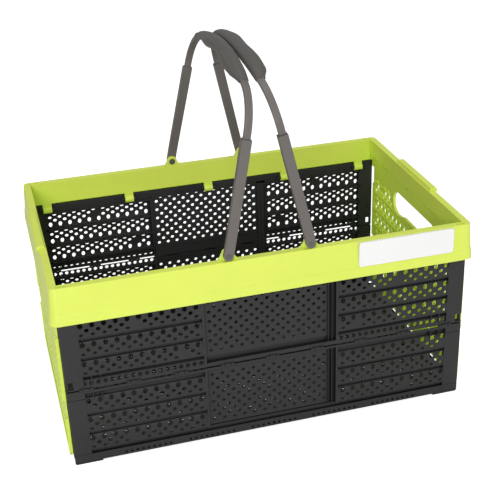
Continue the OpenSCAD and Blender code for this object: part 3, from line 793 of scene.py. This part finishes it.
def base_rail(bm, s):
    """Rail along one long side with groups of small drain holes, and the clips of the wall."""
    drains = [oval(g * DRAIN_GROUP + k * DRAIN_PITCH, RAIL_TOP - 6.2, 1.5, 1.7, sides=12)
              for g in range(-2, 3) for k in range(-4, 5)]
    span = (-WALL_END + 1, WALL_END - 1)
    points, faces = cut_plate(rectangle(span[0], FOOT, span[1], RAIL_TOP - 0.5), drains)
    thicken(bm, points, faces, lambda x, z: Vector((x, s * (WALL_OUT - 0.3), z)),
            lambda x, z: Vector((x, s * (WALL_OUT - 1.8), z)))
    depth = (WALL_OUT - 1.9, WALL_OUT - 0.1)
    slab(bm, s, span, depth, (RAIL_TOP - 1.6, RAIL_TOP))
    slab(bm, s, span, depth, (FOOT + 0.1, FOOT + 1.6))
    for x in STATIONS:
        for k in (-1, 1):
            rod(bm, (x + k * 5.4, s * WALL_IN, BASE_PIVOT), (x + k * 1.4, s * WALL_IN, BASE_PIVOT),
                CLIP_R, sides=20)


def base_piece():
    """Tray floor with its edges, the rails, and the corner blocks and feet."""
    bm = bmesh.new()
    floor_plate(bm)
    for s in (-1, 1):
        # edge sheet under the wall and the low wall of the floor
        slab(bm, s, (-WALL_END + 0.5, WALL_END - 0.5), (FLOOR_HALF - 1.9, WALL_OUT - 0.6),
             (FOOT + 0.05, FOOT + 1.2), 0.2)
        slab(bm, s, (-WALL_END, WALL_END), (FLOOR_HALF - 2, FLOOR_HALF), (FOOT, FLOOR_TOP), 0.3)
        slab(bm, 1, (s * (WALL_END - 2), s * WALL_END), (-FLOOR_HALF, FLOOR_HALF),
             (FOOT, FLOOR_TOP), 0.3)
        base_rail(bm, s)
        for e in (-1, 1):
            slab(bm, s, (e * POST_IN, e * WALL_END), (WALL_OUT - 2.4, WALL_OUT),
                 (FOOT - 0.6, RAIL_TOP), 0.4)
            slab(bm, s, (e * (WALL_END - 31), e * (WALL_END - 1)), (WALL_OUT - 14, WALL_OUT - 0.5),
                 (0, FOOT + 0.5))
    make_piece("base_tray_detail", bm, "base", "wall_charcoal", ["base_tray"])


base_piece()


# ---- soft grips --------------------------------------------------------------------------------

# the bow under a grip: straight legs, a tight bend on each, and a long arch between them
BOW_LEAN = math.radians(12.2)
RIM_INSIDE = WALL_IN - 1.3
LUG_T, LUG_GAP = 3.2, 0.4
LEG_INSET, LEG_TOP_T = 11.4, 8.5
STRAP_MID = RIM_INSIDE + LUG_T + LUG_GAP - LEG_INSET + LEG_TOP_T / 2
LEG_L = 127
STRAP_R = 49
BEND = math.radians(74)
ARCH_R = STRAP_R + (STRAP_MID - STRAP_R) / math.cos(BEND)
ARCH_S = LEG_L - (STRAP_MID - STRAP_R) * math.tan(BEND)

GRIP_HALF = math.radians(15.4)
GRIP_CUT = 0.25                  # half the gap between the grips when they meet
GRIP_STEPS = 56
# section of a grip, as (across the bow, out from the arch). The negative side is the outer side.
GRIP_SECTION = [(5.5, 1.5), (5.0, 4.2), (3.0, 5.9), (0.0, 6.4), (-4.0, 6.0), (-7.6, 4.9),
                (-9.6, 3.3), (-10.8, 3.6), (-12.4, 2.6), (-14.0, 0.4), (-14.4, -2.2),
                (-13.2, -4.8), (-10.4, -6.2), (-6.0, -6.4), (-1.0, -6.3), (3.4, -5.6),
                (5.3, -2.6)]


def grip_point(a, b, full, lobes):
    """A point of the section, where the ends of the grip are slimmer and its lobes stand out."""
    wide = a * (0.45 + 0.55 * full) if a < 0 else a
    tall = b * (0.62 + 0.38 * full)
    if b < 0:
        tall *= 0.62 + 0.58 * lobes * min(max(-a / 10, 0), 1) + 0.1 * lobes
    if a < -8:
        wide *= 0.88 + 0.12 * lobes
    return wide, tall


def soft_grip(name, end):
    """Lobed sleeve over the top of one bow. Its inner side lies against the other grip."""
    bm = bmesh.new()
    rings = []
    for k in range(GRIP_STEPS + 1):
        t = -1 + 2 * k / GRIP_STEPS
        full = 1 - ease((abs(t) - 0.80) / 0.20)
        lobes = 0.5 - 0.5 * math.cos(2.6 * math.pi * (t + 0.12))
        angle = math.pi / 2 - GRIP_HALF * t
        ring = []
        for a, b in GRIP_SECTION:
            wide, tall = grip_point(a, b, full, lobes)
            radius = ARCH_R + tall
            y, z = radius * math.cos(angle), ARCH_S + radius * math.sin(angle)
            x = wide * math.cos(BOW_LEAN) + z * math.sin(BOW_LEAN)
            up = z * math.cos(BOW_LEAN) - wide * math.sin(BOW_LEAN)
            x = min(x - BOW_X, -GRIP_CUT)
            ring.append(bm.verts.new((-end * x, y, BOW_Z + up)))
        rings.append(ring)
    close_rings(bm, rings)
    side = "left" if end < 0 else "right"
    obj = make_piece(name, bm, f"{side}_handle", "grip_grey", [f"{side}_grip"], sharp=60)
    smooth = obj.modifiers.new("smooth", "SUBSURF")
    smooth.levels = smooth.render_levels = 1


soft_grip("left_soft_grip", -1)
soft_grip("right_soft_grip", 1)


# ---- carried-over CAD pieces ---------------------------------------------------------------

def soften(node, width):
    """Welds a CAD node's mesh, merges its flat faces and rounds its edges, with modifiers only."""
    obj = frame["nodes"][node]
    weld = obj.modifiers.new("weld", "WELD")
    weld.merge_threshold = 0.00001
    flat = obj.modifiers.new("flat", "DECIMATE")
    flat.decimate_type = "DISSOLVE"
    flat.angle_limit = math.radians(1)
    bevel = obj.modifiers.new("round", "BEVEL")
    bevel.width = width * MM
    bevel.segments = 2
    bevel.limit_method = "ANGLE"
    bevel.angle_limit = math.radians(32)


for sub in frame["record"]["subparts"]:
    node = frame["nodes"][sub["node"]]
    node.data.materials.clear()
    node.data.materials.append(BODY_MATERIAL[sub["material_slot"]])
soften("rim_frame", 0.6)
for side in ("left", "right"):
    soften(f"{side}_handle_strap", 0.9)
    for face in ("front", "back"):
        soften(f"{side}_handle_{face}_leg", 0.8)
        soften(f"{side}_{face}_pin", 0.3)


# ---- label -----------------------------------------------------------------------------------

LABEL_LOW, LABEL_HIGH = edges_of("blank_label")
LABEL_ROUND = 3


def label_piece():
    """Blank sticker with round corners."""
    outline = []
    for turn in range(4):
        x = LABEL_HIGH[0] - LABEL_ROUND if turn in (0, 3) else LABEL_LOW[0] + LABEL_ROUND
        z = LABEL_HIGH[2] - LABEL_ROUND if turn < 2 else LABEL_LOW[2] + LABEL_ROUND
        for k in range(7):
            a = math.radians(90 * turn + 15 * k)
            outline.append((x + LABEL_ROUND * math.cos(a), z + LABEL_ROUND * math.sin(a)))
    bm = bmesh.new()
    points, faces = cut_plate(outline, [])
    thicken(bm, points, faces, lambda u, v: Vector((u, LABEL_LOW[1], v)),
            lambda u, v: Vector((u, LABEL_HIGH[1], v)))
    make_piece("blank_label_paper", bm, "rim", "label_white", ["blank_label"])


label_piece()


# ---- camera, light and floor, in metres ----------------------------------------------------------

CAMERA_AT = (-0.2802, -1.1037, 0.7365)
CAMERA_PAN, CAMERA_DOWN, CAMERA_ROLL = 15.06, 26.81, -1.96
LENS = 75.56
SENSOR = 36
WORLD_LIGHT = 0.38
FLOOR_REACH = 6
FLOOR_DROP = 0.0003
FLOOR_LIFT = 0.55

scene = bpy.context.scene
scene.view_settings.view_transform = "Standard"
camera = bpy.data.objects.new("camera", bpy.data.cameras.new("camera"))
scene.collection.objects.link(camera)
camera.location = CAMERA_AT
aim = (Matrix.Rotation(math.radians(-CAMERA_PAN), 4, "Z")
       @ Matrix.Rotation(math.radians(90 - CAMERA_DOWN), 4, "X")
       @ Matrix.Rotation(math.radians(CAMERA_ROLL), 4, "Z"))
camera.rotation_euler = aim.to_euler()
camera.data.lens = LENS
camera.data.sensor_width = SENSOR
scene.camera = camera


def soft_light(name, at, target, size, watts):
    """A round lamp that looks at a target."""
    data = bpy.data.lights.new(name, "AREA")
    data.shape = "DISK"
    data.size = size
    data.energy = watts
    lamp = bpy.data.objects.new(name, data)
    lamp.location = at
    lamp.rotation_euler = (Vector(target) - Vector(at)).to_track_quat("-Z", "Y").to_euler()
    scene.collection.objects.link(lamp)


soft_light("key", (-0.9, -2.1, 1.2), (0, 0, 0.15), 1.1, 38)
soft_light("fill", (1.9, -1.2, 1.2), (0, 0, 0.15), 1.6, 12)
soft_light("top", (0.1, 0.3, 2.3), (0, 0, 0.1), 1.2, 15)


def studio_world():
    """A dim white sky that the camera sees as plain white."""
    world = bpy.data.worlds.new("studio")
    world.use_nodes = True
    nodes, links = world.node_tree.nodes, world.node_tree.links
    sky = nodes["Background"]
    sky.inputs["Color"].default_value = (1, 1, 1, 1)
    sky.inputs["Strength"].default_value = WORLD_LIGHT
    seen = nodes.new("ShaderNodeBackground")
    seen.inputs["Color"].default_value = (1, 1, 1, 1)
    seen.inputs["Strength"].default_value = 1
    ray = nodes.new("ShaderNodeLightPath")
    choose = nodes.new("ShaderNodeMixShader")
    links.new(ray.outputs["Is Camera Ray"], choose.inputs["Fac"])
    links.new(sky.outputs["Background"], choose.inputs[1])
    links.new(seen.outputs["Background"], choose.inputs[2])
    links.new(choose.outputs["Shader"], nodes["World Output"].inputs["Surface"])
    return world


def floor_white():
    """Matt white that keeps the shadow, and is lifted to white for the camera."""
    mat = bpy.data.materials.new("floor_white")
    mat.use_nodes = True
    nodes, links = mat.node_tree.nodes, mat.node_tree.links
    shader = nodes["Principled BSDF"]
    shader.inputs["Base Color"].default_value = (0.93, 0.93, 0.93, 1)
    shader.inputs["Roughness"].default_value = 0.9
    lift = nodes.new("ShaderNodeEmission")
    lift.inputs["Color"].default_value = (1, 1, 1, 1)
    ray = nodes.new("ShaderNodeLightPath")
    level = nodes.new("ShaderNodeMath")
    level.operation = "MULTIPLY"
    level.inputs[1].default_value = FLOOR_LIFT
    both = nodes.new("ShaderNodeAddShader")
    links.new(ray.outputs["Is Camera Ray"], level.inputs[0])
    links.new(level.outputs["Value"], lift.inputs["Strength"])
    links.new(shader.outputs["BSDF"], both.inputs[0])
    links.new(lift.outputs["Emission"], both.inputs[1])
    links.new(both.outputs["Shader"], nodes["Material Output"].inputs["Surface"])
    return mat


scene.world = studio_world()
floor_mesh = bpy.data.meshes.new("floor")
floor_mesh.from_pydata([(x, y, 0) for x, y in rectangle(-FLOOR_REACH, -FLOOR_REACH,
                                                        FLOOR_REACH, FLOOR_REACH)],
                       [], [(0, 1, 2, 3)])
floor_mesh.materials.append(floor_white())
floor = bpy.data.objects.new("floor", floor_mesh)
scene.collection.objects.link(floor)
floor.location.z = -FLOOR_DROP
